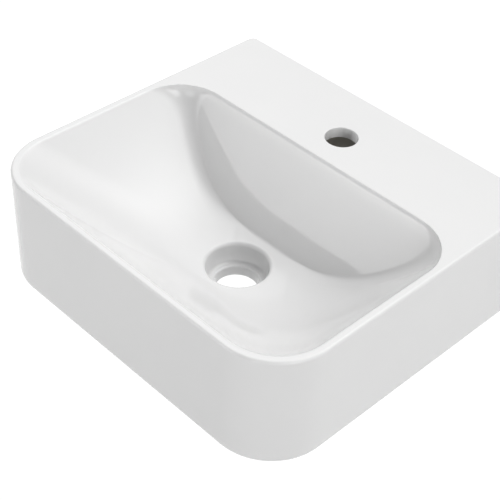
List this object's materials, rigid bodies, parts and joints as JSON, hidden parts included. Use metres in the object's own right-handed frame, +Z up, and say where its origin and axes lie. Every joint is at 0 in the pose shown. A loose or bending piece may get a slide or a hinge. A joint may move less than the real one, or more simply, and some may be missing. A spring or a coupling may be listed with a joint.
{
  "type": "wall hung basin",
  "caption": "Compact white china basin with a flat tap deck, a steep-backed bowl, an open underside and hidden wall bolts.",
  "frame": {"origin": "on the wall face, midway between the two wall bolts", "axes": "+Z up, +Y into the wall, -Y out to the front of the basin, +X to the right as seen from the front"},
  "size_m": [0.41, 0.43, 0.13],
  "materials": {
    "white_china": "glossy white glaze, bare at the back and foot",
    "zinc_steel": "bright zinc plate",
    "white_nylon": "moulded nylon"
  },
  "bodies": {
    "root": {"basin": "white_china", "hanger_bolt_left": "zinc_steel", "fixing_bush_left": "white_nylon", "fixing_washer_left": "zinc_steel", "fixing_nut_left": "zinc_steel", "hanger_bolt_right": "zinc_steel", "fixing_bush_right": "white_nylon", "fixing_washer_right": "zinc_steel", "fixing_nut_right": "zinc_steel"}
  },
  "joints": []
}
